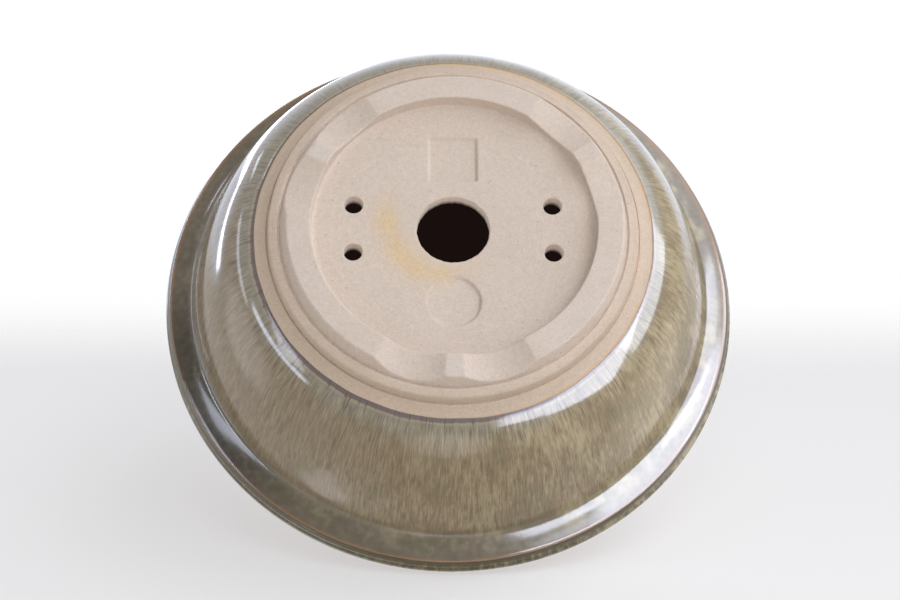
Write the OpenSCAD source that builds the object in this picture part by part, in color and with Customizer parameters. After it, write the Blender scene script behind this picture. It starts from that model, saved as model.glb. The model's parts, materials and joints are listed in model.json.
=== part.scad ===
// Round bonsai pot: a stoneware bowl with a flanged rim, on a foot ring scooped into three feet.
// The origin is the middle of the resting plane, +Z is up, and lengths are in millimetres.
// Every outline is drawn in the half plane of a radius, as [radius, height], and turned about Z.

/* [Overall] */
// Diameter over the rim
rim_d = 212; // [190:1:240]
// Height from the resting plane to the top of the rim
pot_h = 68; // [60:1:90]

/* [Rim] */
// Width of the flange's underside, from the wall to the edge where the glaze breaks
flange_w = 8.8; // [6:0.1:12]
// Upward slope of the flange's underside, in degrees
flange_slope = 17; // [8:1:28]
// Length of the turn from the wall into the flange, along the wall
wall_turn = 1.9; // [1:0.1:4]
// Length of the turn from the wall into the flange, along the flange
flange_turn = 6.4; // [4:0.1:7]
// Height of the rim, from the flange's edge to its top
rim_h = 8; // [6:0.1:12]
// How far the rim's edge face leans out over the flange's edge
rim_lean = 1.8; // [0.5:0.1:3]
// Width of the rim across its top
rim_w = 12; // [10:0.1:15]
// Height of the rounded crown of the rim
rim_crown = 2.4; // [1.5:0.1:3.5]
// Rounding of the flange's edge
flange_edge_round = 1.2; // [0.9:0.1:2]

/* [Wall] */
// Wall thickness with its glaze
wall_t = 6.5; // [4.5:0.1:8]
// Slope of the wall under the flange, in degrees from level
wall_slope = 70; // [64:1:78]
// Slope of the heel where it leaves the glaze line, in degrees from level
heel_slope = 26; // [22:1:36]
// Fullness of the heel: the length over which it keeps its first slope
heel_pull = 18; // [12:0.1:20]
// Straightness of the upper wall: the length over which it keeps its last slope
wall_pull = 13; // [8:0.1:20]

/* [Floor] */
// Thickness of the floor at the middle
floor_t = 4.6; // [3.6:0.1:8]
// Height of the cove between the inside floor and the wall
cove_h = 3.2; // [2:0.1:6]
// Run of the cove along the floor
cove_run = 6; // [3:0.1:10]
// Height of the recessed base at the middle, above the resting plane
recess_h = 6.8; // [5.9:0.1:9]

/* [Base turning] */
// Radius of the glaze line
glaze_line_r = 70; // [68:0.5:74]
// Height of the glaze line
glaze_line_h = 10.4; // [9.5:0.1:14]
// Radius of the outer groove, between the bead and the clay band
band_groove_r = 65.2; // [64:0.1:66.5]
// Height of the outer groove
band_groove_h = 7.8; // [6.5:0.1:8.8]
// Width of the floor of the outer groove
band_groove_w = 0.4; // [0.3:0.1:1.2]
// Radius of the inner groove, between the foot ring and the bead
foot_groove_r = 61; // [60.3:0.1:62]
// Height of the bead's face
bead_h = 3.9; // [3.3:0.1:4.4]
// Rounding of the bead's inner edge
bead_round = 0.7; // [0.3:0.1:0.8]
// Rounding of the bead's outer edge
bead_shoulder = 1.2; // [0.5:0.1:1.5]
// How far the bead's outer side leans out, down to the outer groove
bead_lean = 0.6; // [0.2:0.1:1]

/* [Foot ring] */
// Height of the flat seat that the ring is luted to
seat_h = 5.8; // [5.3:0.1:6.4]
// Outer radius of the resting face
foot_r_out = 58.8; // [57:0.1:60]
// Inner radius of the resting face
foot_r_in = 50; // [48:0.1:53]
// Inward lean of the ring's inner wall from bottom to top
foot_lean = 0.5; // [0.2:0.1:2]
// Radius of the lute fillet inside the ring
foot_fillet = 2.3; // [1:0.1:2.6]
// Thickness of the lute fillet at its thin end
fillet_edge = 0.3; // [0.2:0.05:0.5]
// Rounding of the edges of the resting face
foot_round = 0.5; // [0.3:0.1:0.8]
// Radial gap of the luted joint beside the bead
lute_gap = 0.3; // [0.1:0.05:0.5]

/* [Scoops] */
// Number of feet, each parted from the next by a pair of scoops
foot_count = 3; // [3:1:4]
// Width of one scoop, in degrees of the ring
scoop_width = 24.5; // [14:0.5:28]
// Width of the ridge left between the scoops of a pair, in degrees of the ring
ridge_width = 6.5; // [3:0.5:12]
// Depth of a scoop at the middle of the ring
scoop_depth = 3.2; // [1.5:0.1:3.3]

/* [Holes] */
// Diameter of the drain hole
drain_d = 25.6; // [18:0.1:36]
// Diameter of a wire hole
wire_hole_d = 6.5; // [4:0.1:9]
// Distance between the two pairs of wire holes
wire_span_x = 70; // [60:0.5:76]
// Distance between the wire holes of a pair
wire_span_y = 18.5; // [14:0.5:30]

/* [Glaze] */
// Thickness of the glaze coats
glaze_t = 0.6; // [0.3:0.05:0.8]
// How far the rim's glaze runs down inside, below the top of the rim
inner_glaze_drop = 20; // [16:0.5:28]

/* [Hidden] */

// Smoothness of the turned surfaces, and steps along a long curve and along a short one
turn_facets = 180;
long_steps = 28;
short_steps = 8;
// Overlap that lets a cutting tool pass clear through
through = 1;

clay_colour = [0.80, 0.74, 0.68];
foot_colour = [0.76, 0.69, 0.62];
outer_colour = [0.52, 0.50, 0.36];
rim_colour = [0.42, 0.38, 0.26];

// Direction of a slope, as a unit step of [radius, height]
function slope(angle) = [cos(angle), sin(angle)];

// Curve from a to d that leaves towards b and arrives from c
function curve(a, b, c, d, steps) = [for (i = [0:steps])
    let (t = i / steps, s = 1 - t)
    s * s * s * a + 3 * s * s * t * b + 3 * s * t * t * c + t * t * t * d];

// Rounded corner from a to b, where the straight lines would meet at corner
function bend(a, corner, b) = [for (i = [0:short_steps])
    let (t = i / short_steps, s = 1 - t)
    s * s * a + 2 * s * t * corner + t * t * b];

function backwards(points) = [for (i = [len(points) - 1:-1:0]) points[i]];
function last(points) = points[len(points) - 1];
function after_first(points) = [for (i = [1:len(points) - 1]) points[i]];
function span(points, first, final) = [for (i = [first:final]) points[i]];

// Points moved square to their line, to its left, which is into the clay on every line below
function inset(points, distance) = [for (i = [0:len(points) - 1])
    let (
        before = points[max(i - 1, 0)],
        next = points[min(i + 1, len(points) - 1)],
        way = (next - before) / norm(next - before)
    )
    points[i] + distance * [-way[1], way[0]]];

// Point of a rising line at a height
function at_height(points, height) =
    [lookup(height, [for (p = points) [p[1], p[0]]]), height];

// Outside of the wall, from the glaze line to the turn under the flange
glaze_line = [glaze_line_r, glaze_line_h];
flange_edge = [rim_d / 2 - rim_lean, pot_h - rim_h];
flange_corner = flange_edge - flange_w * slope(flange_slope);
wall_top = flange_corner - wall_turn * slope(wall_slope);
wall_line = curve(
    glaze_line,
    glaze_line + heel_pull * slope(heel_slope),
    wall_top - wall_pull * slope(wall_slope),
    wall_top,
    long_steps
);

// Rim: its edge face leans out to the widest point, and its top is crowned
rim_widest = [rim_d / 2, pot_h - rim_crown];
rim_inside = [rim_d / 2 - rim_w, pot_h - rim_crown];
// A curve with two upright handles rises to three quarters of their length
crown_pull = [0, rim_crown / 0.75];
edge_way = (rim_widest - flange_edge) / norm(rim_widest - flange_edge);
edge_start = flange_edge + flange_edge_round * edge_way;
edge_pull = norm(rim_widest - edge_start) / 3;

// Inside of the wall runs parallel to its outside
wall_inside = inset(wall_line, wall_t);
inner_glaze_h = pot_h - inner_glaze_drop;
lip_pull = (rim_inside[1] - last(wall_inside)[1]) / 3;

// The outer coat ends and the rim's coat starts half way round the flange's edge
edge_bend = bend(flange_edge - flange_edge_round * slope(flange_slope), flange_edge, edge_start);
outer_line = concat(
    wall_line,
    after_first(bend(wall_top, flange_corner, flange_corner + flange_turn * slope(flange_slope))),
    span(edge_bend, 0, short_steps / 2)
);
rim_line = concat(
    span(edge_bend, short_steps / 2 + 1, short_steps),
    after_first(curve(edge_start, edge_start + edge_pull * edge_way, rim_widest - [0, edge_pull], rim_widest,
        short_steps)),
    after_first(curve(rim_widest, rim_widest + crown_pull, rim_inside + crown_pull, rim_inside, 2 * short_steps)),
    after_first(curve(rim_inside, rim_inside - [0, lip_pull],
        last(wall_inside) + lip_pull * slope(wall_slope), last(wall_inside), short_steps)),
    [for (p = after_first(backwards(wall_inside))) if (p[1] > inner_glaze_h + glaze_t) p],
    [at_height(wall_inside, inner_glaze_h)]
);

// Face of both glaze coats in one run, and the clay under them
glaze_face = concat(outer_line, rim_line);
glaze_back = inset(glaze_face, glaze_t);
break_index = len(outer_line) - 1;
end_index = len(glaze_face) - 1;

// Bare inside, from the inner glaze line down to the cove and the floor
floor_h = recess_h + floor_t;
bare_wall = [for (p = backwards(inset(wall_line, wall_t - glaze_t)))
    if (p[1] < inner_glaze_h - glaze_t && p[1] > floor_h + cove_h) p];
cove_top = last(bare_wall);
cove_way = bare_wall[len(bare_wall) - 2] - cove_top;
cove_corner = cove_top - cove_way * ((cove_top[1] - floor_h) / cove_way[1]);
cove = bend(cove_top, cove_corner, cove_corner - [cove_run, 0]);

// Turned bead under the base: a flat face with rounded edges, and a side that leans out to the outer groove
outer_groove = [band_groove_r, band_groove_h];
bead_inner = [foot_groove_r, bead_h];
bead_outer = [band_groove_r - bead_lean, bead_h];
bead_side_way = (outer_groove - bead_outer) / norm(outer_groove - bead_outer);
bead = concat(
    bend(bead_inner + [0, bead_round], bead_inner, bead_inner + [bead_round, 0]),
    bend(bead_outer - [bead_shoulder, 0], bead_outer, bead_outer + bead_shoulder * bead_side_way),
    [outer_groove]
);

// Foot ring
ring_r_out = foot_groove_r - lute_gap;
ring_wall_top = [foot_r_in - foot_lean, seat_h - fillet_edge];
fillet_end = ring_wall_top - [foot_fillet, 0];
inner_wall_way = (ring_wall_top - [foot_r_in, 0]) / norm(ring_wall_top - [foot_r_in, 0]);
outer_wall_way = ([ring_r_out, bead_h] - [foot_r_out, 0]) / norm([ring_r_out, bead_h] - [foot_r_out, 0]);

// A scoop is a cone with its tip on the pot's axis, so that its edges are straight radial lines.
// Its highest line rises by scoop_rise, and its axis dips below the resting plane.
scoop_rise = atan(scoop_depth / ((foot_r_in + foot_r_out) / 2));
scoop_dip = atan((cos(scoop_rise) - cos(scoop_width / 2)) / sin(scoop_rise));
scoop_cone = scoop_dip + scoop_rise;
scoop_length = (foot_groove_r + 2 * through) * cos(scoop_cone);
scoop_offset = (scoop_width + ridge_width) / 2;
// A pair of scoops lies at the -Y side
first_pair = -90;

module turned(outline) {
    rotate_extrude($fn = turn_facets) polygon(outline);
}

module floor_hole(diameter) {
    translate([0, 0, seat_h - through])
        cylinder(d = diameter, h = floor_h - seat_h + 2 * through, $fn = turn_facets);
}

module scoop(angle) {
    rotate([0, 90 + scoop_dip, angle])
        cylinder(h = scoop_length, r1 = 0, r2 = scoop_length * tan(scoop_cone), $fn = turn_facets);
}

module clay_bowl() {
    color(clay_colour) difference() {
        turned(concat(
            [[0, recess_h], [fillet_end[0], seat_h], [foot_groove_r, seat_h]],
            bead,
            [outer_groove + [band_groove_w, 0]],
            glaze_back,
            bare_wall,
            after_first(cove),
            [[0, floor_h]]
        ));
        floor_hole(drain_d);
        for (x = [-1, 1], y = [-1, 1])
            translate([x * wire_span_x / 2, y * wire_span_y / 2, 0]) floor_hole(wire_hole_d);
    }
}

module foot_ring() {
    color(foot_colour) difference() {
        turned(concat(
            bend([foot_r_out - foot_round, 0], [foot_r_out, 0], [foot_r_out, 0] + foot_round * outer_wall_way),
            [[ring_r_out, bead_h], [ring_r_out, seat_h], [fillet_end[0], seat_h]],
            bend(fillet_end, ring_wall_top, ring_wall_top - foot_fillet * inner_wall_way),
            bend([foot_r_in, 0] + foot_round * inner_wall_way, [foot_r_in, 0], [foot_r_in + foot_round, 0])
        ));
        for (pair = [0:foot_count - 1], side = [-1, 1])
            scoop(first_pair + pair * 360 / foot_count + side * scoop_offset);
    }
}

// Glaze coat between two points of the run of the glaze's face
module coat(first, final) {
    turned(concat(span(glaze_face, first, final), backwards(span(glaze_back, first, final))));
}

module outer_glaze() {
    color(outer_colour) coat(0, break_index);
}

module rim_glaze() {
    color(rim_colour) coat(break_index, end_index);
}

clay_bowl();
foot_ring();
outer_glaze();
rim_glaze();
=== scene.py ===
"""Round bonsai pot: a stoneware bowl on a scooped foot ring, with two glaze coats, and its studio.

The file is laid out as an add-on and run as a script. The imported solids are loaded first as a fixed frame.
Every surface is worked out in that frame: metres, +Z up, the origin in the middle of the resting plane.
"""

import json
import math

import bpy
import numpy as np
from bpy.props import FloatProperty, FloatVectorProperty, IntProperty, PointerProperty
from mathutils import Matrix, Vector


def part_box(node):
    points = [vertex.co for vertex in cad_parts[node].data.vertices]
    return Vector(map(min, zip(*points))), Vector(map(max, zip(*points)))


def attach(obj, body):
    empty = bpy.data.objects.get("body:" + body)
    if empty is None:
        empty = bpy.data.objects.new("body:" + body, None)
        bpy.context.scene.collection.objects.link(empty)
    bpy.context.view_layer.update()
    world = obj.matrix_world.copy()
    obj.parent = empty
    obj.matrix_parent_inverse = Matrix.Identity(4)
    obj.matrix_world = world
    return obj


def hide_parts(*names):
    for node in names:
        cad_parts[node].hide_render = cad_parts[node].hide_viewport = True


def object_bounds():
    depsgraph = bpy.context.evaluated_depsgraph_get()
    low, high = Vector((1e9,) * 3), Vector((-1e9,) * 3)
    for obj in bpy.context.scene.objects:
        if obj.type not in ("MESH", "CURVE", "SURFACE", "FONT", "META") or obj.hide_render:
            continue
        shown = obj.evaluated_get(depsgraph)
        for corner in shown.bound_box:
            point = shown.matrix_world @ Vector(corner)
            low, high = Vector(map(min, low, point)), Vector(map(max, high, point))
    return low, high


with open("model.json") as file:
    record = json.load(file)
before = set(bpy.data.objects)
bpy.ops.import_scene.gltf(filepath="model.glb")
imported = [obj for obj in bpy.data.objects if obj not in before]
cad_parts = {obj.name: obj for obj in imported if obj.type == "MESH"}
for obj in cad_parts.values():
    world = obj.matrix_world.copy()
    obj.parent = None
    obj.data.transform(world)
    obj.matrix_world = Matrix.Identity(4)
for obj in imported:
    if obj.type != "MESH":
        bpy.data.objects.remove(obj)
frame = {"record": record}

bl_info = {
    "name": "Round bonsai pot",
    "version": (1, 0, 0),
    "blender": (4, 5, 0),
    "location": "3D View > Sidebar > Bonsai pot",
    "description": "Makes a glazed round bonsai pot over its solids, with a plain studio round it",
    "category": "Add Mesh",
}

MM = 0.001
TURN = 2.0 * math.pi

# Columns round the bowl and its coats, columns round the foot ring, and half the size of the block of the
# grid that makes room for a wire hole
GRID = 480
RING_GRID = 960
BLOCK = 12

# Rows from edge to edge of a hole, and the gap between rows inside the bowl
BORE_ROWS = 5
INSIDE_GAP = 4.0 * MM

# Sockets of the Mix node that hold colours
MIX_FIRST = 6
MIX_SECOND = 7
MIX_RESULT = 2

# Shares of the way along the outer coat between which the wall passes into the flange
FLANGE_SHARE = (0.8, 0.9)

# Sizes that the frame gives
CAD_LOW, CAD_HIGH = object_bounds()
_, RING_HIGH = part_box("foot_ring")
COAT_LOW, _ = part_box("outer_glaze")
RIM_LOW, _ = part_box("rim_glaze")
MOUNTS = {mount["name"]: mount["dims"] for mount in frame["record"]["mounts"]}
DRAIN = MOUNTS["drain"]
WIRES = MOUNTS["wire_holes"]


def length(name, description, metres):
    """A length that a user can change."""
    return FloatProperty(
        name=name, description=description, default=metres, subtype="DISTANCE", unit="LENGTH", precision=5
    )


def angle(name, description, degrees):
    """An angle that a user can change."""
    return FloatProperty(
        name=name, description=description, default=math.radians(degrees), subtype="ANGLE", unit="ROTATION"
    )


def screen(red, green, blue):
    """Linear colour of a colour read on a screen, from 0 to 255."""
    values = np.array([red, green, blue]) / 255.0
    low = values / 12.92
    high = ((values + 0.055) / 1.055) ** 2.4
    return tuple(float(value) for value in np.where(values <= 0.04045, low, high))


def colour(name, description, red, green, blue):
    """A colour that a user can change, given as it is read on a screen."""
    return FloatVectorProperty(name=name, description=description, default=screen(red, green, blue), size=3,
                               subtype="COLOR", min=0.0, max=1.0)


# Settings

class PotShape(bpy.types.PropertyGroup):
    """Sizes of the pot's outline and of its base."""

    rim_radius: length("Rim radius", "Radius over the rim", CAD_HIGH.x)
    pot_height: length("Height", "Height from the resting plane to the top of the rim", CAD_HIGH.z)
    flange_width: length("Flange width", "Width of the flange's underside", 8.8 * MM)
    flange_slope: angle("Flange slope", "Upward slope of the flange's underside", 17)
    wall_turn: length("Wall turn", "Length of the turn into the flange, along the wall", 1.9 * MM)
    flange_turn: length("Flange turn", "Length of the turn into the flange, along the flange", 6.4 * MM)
    rim_height: length("Rim height", "Height of the rim above the flange's edge", 8 * MM)
    rim_lean: length("Rim lean", "How far the rim's edge face leans out", 1.8 * MM)
    rim_width: length("Rim width", "Width of the rim across its top", 12 * MM)
    rim_crown: length("Rim crown", "Height of the rounded crown of the rim", 2.4 * MM)
    edge_round: length("Edge rounding", "Rounding of the flange's edge", 1.2 * MM)
    rim_groove: length("Rim groove", "Depth of the fine line turned into the rim's edge face", 0.22 * MM)
    wall_thickness: length("Wall", "Wall thickness with its glaze", 6.5 * MM)
    wall_slope: angle("Wall slope", "Slope of the wall under the flange", 70)
    heel_slope: angle("Heel slope", "Slope of the heel at the glaze line", 26)
    heel_pull: length("Heel fullness", "Length over which the heel keeps its first slope", 18 * MM)
    wall_pull: length("Wall straightness", "Length over which the wall keeps its last slope", 13 * MM)
    floor_thickness: length("Floor", "Thickness of the floor at the middle", 4.6 * MM)
    cove_height: length("Cove height", "Height of the cove inside", 3.2 * MM)
    cove_run: length("Cove run", "Run of the cove along the inside floor", 6 * MM)
    recess_height: length("Recess", "Height of the base at the middle", 6.8 * MM)
    glaze_line_radius: length("Glaze line radius", "Radius of the glaze line", 70 * MM)
    glaze_line_height: length("Glaze line height", "Height of the glaze line", COAT_LOW.z)
    inner_glaze_height: length("Inner glaze line", "Height of the glaze line inside", RIM_LOW.z)
    glaze_thickness: length("Glaze", "Thickness of the glaze coats", 0.6 * MM)
    glaze_reach: length("Glaze reach", "How far the coat may run down over the clay band", 1.4 * MM)
    glaze_roll: length("Glaze roll", "Width of the rounded edge low on the coat", 1.7 * MM)
    coat_lift: length("Coat lift", "How far the coat stands over the clay band", 0.22 * MM)
    band_groove_radius: length("Outer groove radius", "Groove between the bead and the band", 65.2 * MM)
    band_groove_height: length("Outer groove height", "Height of the outer groove", 7.8 * MM)
    band_groove_width: length("Outer groove width", "Width of the outer groove's floor", 0.4 * MM)
    groove_cut: length("Groove cut", "Depth of the fine groove between the bead and the clay band", 0.45 * MM)
    foot_groove_radius: length("Inner groove radius", "Groove between the foot and the bead", 61 * MM)
    bead_height: length("Bead height", "Height of the bead's face", 3.9 * MM)
    bead_dip: length("Bead dip", "How deep the bead's inner side dips towards the foot ring", 0.9 * MM)
    bead_slope: length("Bead slope", "Width of the bead's dipping inner side", 0.6 * MM)
    bead_shoulder: length("Bead shoulder", "Rounding of the bead's outer edge", 1.0 * MM)
    bead_lean: length("Bead lean", "How far the bead's outer side leans out", 0.6 * MM)
    bead_fall: length("Bead fall", "How far the bead's face falls away outwards", 0.6 * MM)
    seat_height: length("Seat height", "Height of the seat that carries the foot ring", RING_HIGH.z)
    ring_radius: length("Ring radius", "Outer radius of the foot ring at its seat", RING_HIGH.x)
    foot_outer: length("Foot outer radius", "Outer radius of the resting face", 58.8 * MM)
    foot_inner: length("Foot inner radius", "Inner radius of the resting face", 50 * MM)
    foot_lean: length("Foot lean", "Inward lean of the ring's inner wall", 0.15 * MM)
    foot_fillet: length("Lute fillet", "Run of the fillet inside the foot ring", 2.3 * MM)
    foot_round: length("Foot rounding", "Rounding of the edges of the feet", 0.45 * MM)
    foot_drift: length("Foot drift", "How far the resting face lies off centre", 0.6 * MM)
    foot_lip: length("Foot lip", "How far the ring's clay is smeared onto the bead", 0.25 * MM)
    foot_count: IntProperty(name="Feet", description="Number of feet", default=3, min=3, max=4)
    scoop_width: angle("Scoop width", "Width of one scoop round the ring", 24.5)
    ridge_width: angle("Ridge width", "Width of the ridge between two scoops", 6.5)
    scoop_depth: length("Scoop depth", "Depth of a scoop at the middle of the ring", 3.2 * MM)
    drain_radius: length("Drain radius", "Radius of the drain hole", DRAIN["r_mm"] * MM)
    wire_radius: length("Wire hole radius", "Radius of a wire hole", WIRES["hole_r_mm"] * MM)
    wire_span_x: length("Wire span", "Distance between the pairs of wire holes", WIRES["spacing_x_mm"] * MM)
    wire_span_y: length("Wire pair", "Distance between the holes of a pair", WIRES["spacing_y_mm"] * MM)
    press_size: length("Press mark", "Size of the two blank press marks on the base", 17 * MM)
    press_place: length("Press place", "Distance of the press marks from the middle", 28 * MM)
    press_depth: length("Press depth", "Depth of the press marks", 1.2 * MM)


class ClayFinish(bpy.types.PropertyGroup):
    """Looks of the bare stoneware."""

    body: colour("Body", "Bare clay of the base", 208, 192, 178)
    toast: colour("Toast", "Clay toasted beside the glaze", 200, 180, 160)
    flash: colour("Flash", "Orange line beside the glaze", 205, 160, 90)
    stain: colour("Stain", "Rust stain beside the drain", 212, 184, 138)
    # Painted sheen on the feet where they are worn smooth
    wear_and_sheen: colour("Rubbed", "Clay rubbed smooth on the feet", 208, 201, 197)
    speck: colour("Speck", "Dark grit", 120, 100, 84)
    inside: colour("Inside", "Bare clay inside the bowl", 176, 150, 126)
    # Painted shade: a dark brown for the walls deep in the holes, where little light reaches
    hole_shade: colour("Hollow", "Smoked clay deep in the holes", 84, 68, 58)


class GlazeFinish(bpy.types.PropertyGroup):
    """Looks of the glaze."""

    edge: colour("Edge", "Glaze thinned at the glaze line", 124, 112, 112)
    fringe: colour("Fringe", "Golden fringe above the thinned edge", 178, 164, 142)
    heel: colour("Heel", "Grey glaze pooled over the heel", 150, 144, 128)
    wall: colour("Wall", "Golden beige glaze of the wall", 150, 133, 107)
    streak: colour("Streak", "Brown streaks in the wall's glaze", 102, 86, 62)
    milk: colour("Milk", "Milky streaks in the wall's glaze", 190, 176, 148)
    # Partly painted light: its drifts are made stronger on the lit side
    gold: colour("Gold", "Golden drifts in the glaze", 188, 176, 142)
    moss: colour("Moss", "Green drifts in the glaze", 108, 108, 76)
    flange: colour("Flange", "Grey glaze under the flange", 122, 112, 95)
    iron: colour("Iron", "Brown break at the edges", 146, 112, 78)
    # Partly painted shade: set darker than the rim glaze shows in light, for the shade where the rim meets
    # the floor
    rim: colour("Rim", "Olive brown glaze of the rim", 88, 81, 60)


class StudioSetup(bpy.types.PropertyGroup):
    """Camera, floor and light."""

    lean: angle("Lean", "Angle between the pot's axis and the floor in the main view", 42)
    view_tilt: angle("Tilt", "Tilt of the pot's axis to the line of sight", 25.342)
    view_yaw: angle("Yaw", "Sideways turn of the pot to the line of sight", -1.4954)
    view_roll: angle("Roll", "Roll of the pot in the picture", 0.2807)
    sight: FloatVectorProperty(
        name="Sight",
        description="Place of the origin seen from the camera: right, down and forward",
        default=(1.3 * MM, -27.5 * MM, 694.6 * MM),
        size=3,
        subtype="TRANSLATION",
        unit="LENGTH",
    )
    lens: FloatProperty(
        name="Lens", description="Focal length", default=80.0, subtype="DISTANCE_CAMERA", unit="CAMERA"
    )
    floor: colour("Floor", "Pale floor", 246, 245, 245)
    surround: FloatProperty(
        name="Surround", description="Level of the plain light from all round", default=0.5, min=0.0
    )


# Lines in the half plane of a radius, as arrays of [radius, height]

def way(slope):
    """Unit step of [radius, height] up a slope."""
    return np.array([math.cos(slope), math.sin(slope)])


def heading(start, end):
    """Unit step from one point towards another."""
    return (end - start) / np.hypot(*(end - start))


def cubic(start, first_pull, second_pull, end, count=64):
    """Curve that leaves start towards first_pull and reaches end from second_pull: the four points weighted
    by s^3, 3 s^2 t, 3 s t^2 and t^3, with s = 1 - t."""
    t = np.linspace(0.0, 1.0, count)[:, None]
    s = 1.0 - t
    return s**3 * start + 3 * s**2 * t * first_pull + 3 * s * t**2 * second_pull + t**3 * end


def corner(start, knee, end, count=17):
    """Rounded corner between points, or between rows of points round the pot: start, knee and end weighted
    by s^2, 2 s t and t^2, with s = 1 - t."""
    t = np.linspace(0.0, 1.0, count).reshape(-1, *[1] * np.ndim(start))
    s = 1.0 - t
    return s**2 * start + 2 * s * t * knee + t**2 * end


def run_of(line):
    """Length walked along a line up to each of its points."""
    steps = np.hypot(*np.diff(line, axis=0).T)
    return np.concatenate([[0.0], np.cumsum(steps)])


def joined(*lines):
    """Lines in one run, without doubled points."""
    line = np.vstack(lines)
    apart = np.hypot(*np.diff(line, axis=0).T) > 1e-7
    return line[np.concatenate([[True], apart])]


def points_along(line, measure, places):
    """Points of a line at places of a measure that grows along it."""
    return np.stack([np.interp(places, measure, line[:, 0]), np.interp(places, measure, line[:, 1])], axis=-1)


def spaced(line, gap):
    """The line with points about gap apart."""
    run = run_of(line)
    return points_along(line, run, np.linspace(0.0, run[-1], max(2, int(round(run[-1] / gap)) + 1)))


def spaced_for_bends(line, gap, bend):
    """The line with few points where it is straight: they lie even steps of length / gap + turning / bend
    apart."""
    steps = np.diff(line, axis=0)
    headings = np.unwrap(np.arctan2(steps[:, 1], steps[:, 0]))
    turning = np.cumsum(np.abs(np.diff(headings)))
    measure = run_of(line) / gap + np.concatenate([[0.0], turning, turning[-1:]]) / bend
    return points_along(line, measure, np.linspace(0.0, measure[-1], int(round(measure[-1])) + 1))


def softened(line, passes):
    """The line with its corners eased: each point goes half way to the middle of its neighbours, a few
    times over."""
    eased = line.copy()
    for _ in range(passes):
        eased[1:-1] = 0.5 * eased[1:-1] + 0.25 * (eased[:-2] + eased[2:])
    return eased


def outward(line):
    """Unit steps square to a line on its right, which is away from the clay."""
    steps = np.gradient(line, axis=0)
    steps = steps / np.hypot(steps[:, 0], steps[:, 1])[:, None]
    return np.stack([steps[:, 1], -steps[:, 0]], axis=1)


def inset(line, depth):
    """The line moved into the clay."""
    return line - depth * outward(line)


def wall_line(shape):
    """Outside of the wall from the glaze line to the turn under the flange, one curve between two slopes.
    Gives also the wall's top, the knee where wall and flange would meet, and the flange's edge."""
    edge = np.array([shape.rim_radius - shape.rim_lean, shape.pot_height - shape.rim_height])
    knee = edge - shape.flange_width * way(shape.flange_slope)
    wall_top = knee - shape.wall_turn * way(shape.wall_slope)
    glaze_line = np.array([shape.glaze_line_radius, shape.glaze_line_height])
    first_pull = glaze_line + shape.heel_pull * way(shape.heel_slope)
    last_pull = wall_top - shape.wall_pull * way(shape.wall_slope)
    return cubic(glaze_line, first_pull, last_pull, wall_top, count=160), wall_top, knee, edge


def glaze_lines(shape):
    """Faces of the outer coat and of the rim's coat. They meet half way round the flange's edge."""
    wall, wall_top, knee, edge = wall_line(shape)
    flange_way = way(shape.flange_slope)
    turn = corner(wall_top, knee, knee + shape.flange_turn * flange_way)
    widest = np.array([shape.rim_radius, shape.pot_height - shape.rim_crown])
    edge_way = heading(edge, widest)
    face_start = edge + shape.edge_round * edge_way
    edge_bend = corner(edge - shape.edge_round * flange_way, edge, face_start)
    half = len(edge_bend) // 2
    outer = joined(wall, turn, edge_bend[: half + 1])

    face_pull = np.hypot(*(widest - face_start)) / 3
    face = cubic(face_start, face_start + face_pull * edge_way, widest - [0, face_pull], widest)
    # A curve with two upright handles rises to three quarters of their length
    crown_pull = np.array([0.0, shape.rim_crown / 0.75])
    rim_inside = widest - [shape.rim_width, 0.0]
    crown = cubic(widest, widest + crown_pull, rim_inside + crown_pull, rim_inside)
    inside = inset(wall, shape.wall_thickness)
    lip_pull = (rim_inside[1] - inside[-1, 1]) / 3
    lip_end_pull = inside[-1] + lip_pull * way(shape.wall_slope)
    lip = cubic(rim_inside, rim_inside - [0, lip_pull], lip_end_pull, inside[-1])
    end_radius = np.interp(shape.inner_glaze_height, inside[:, 1], inside[:, 0])
    down = inside[::-1]
    down = np.vstack([down[down[:, 1] > shape.inner_glaze_height], [end_radius, shape.inner_glaze_height]])
    return outer, joined(edge_bend[half:], face, crown, lip, down)


# Surfaces and meshes

def turned_to(radius, height, angles):
    """Points of a surface of revolution: radius times the cosine and sine of the angle, and height."""
    radius, height, angles = np.broadcast_arrays(radius, height, angles)
    return np.stack([radius * np.cos(angles), radius * np.sin(angles), height], axis=-1)


def round_angles(count):
    """Even angles round the pot."""
    return np.arange(count) * (TURN / count)


def ring_quads(index):
    """Quads of a grid of vertex numbers that closes on itself both along and round the pot."""
    across = np.roll(index, -1, axis=1)
    return np.stack([index, across, np.roll(across, -1, axis=0), np.roll(index, -1, axis=0)], axis=-1)


def tube_quads(loops):
    """Quads between neighbouring closed loops of vertex numbers."""
    near = loops[:-1]
    far = loops[1:]
    return np.stack([near, np.roll(near, -1, axis=1), np.roll(far, -1, axis=1), far], axis=-1)


def closed_surface(rows, angles):
    """Points and quads of rows of [radius, height] that close on themselves both along and round the pot."""
    points = turned_to(rows[..., 0], rows[..., 1], angles)
    return points, ring_quads(np.arange(rows.shape[0] * rows.shape[1]).reshape(rows.shape[:2]))


def swells(angles, depth, waves):
    """Slow unevenness by hand, between -depth and depth: sines of a few wave counts, each with its own
    phase."""
    counts = np.array(waves, float)
    phases = 1.7 * counts + 0.6 * counts**2
    turns = counts * np.asarray(angles)[..., None] + phases
    return depth * np.sin(turns).mean(axis=-1)


def rise(value, low, high):
    """Smooth step from 0 at low to 1 at high."""
    t = np.clip((value - low) / (high - low), 0.0, 1.0)
    return t * t * (3.0 - 2.0 * t)


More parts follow.
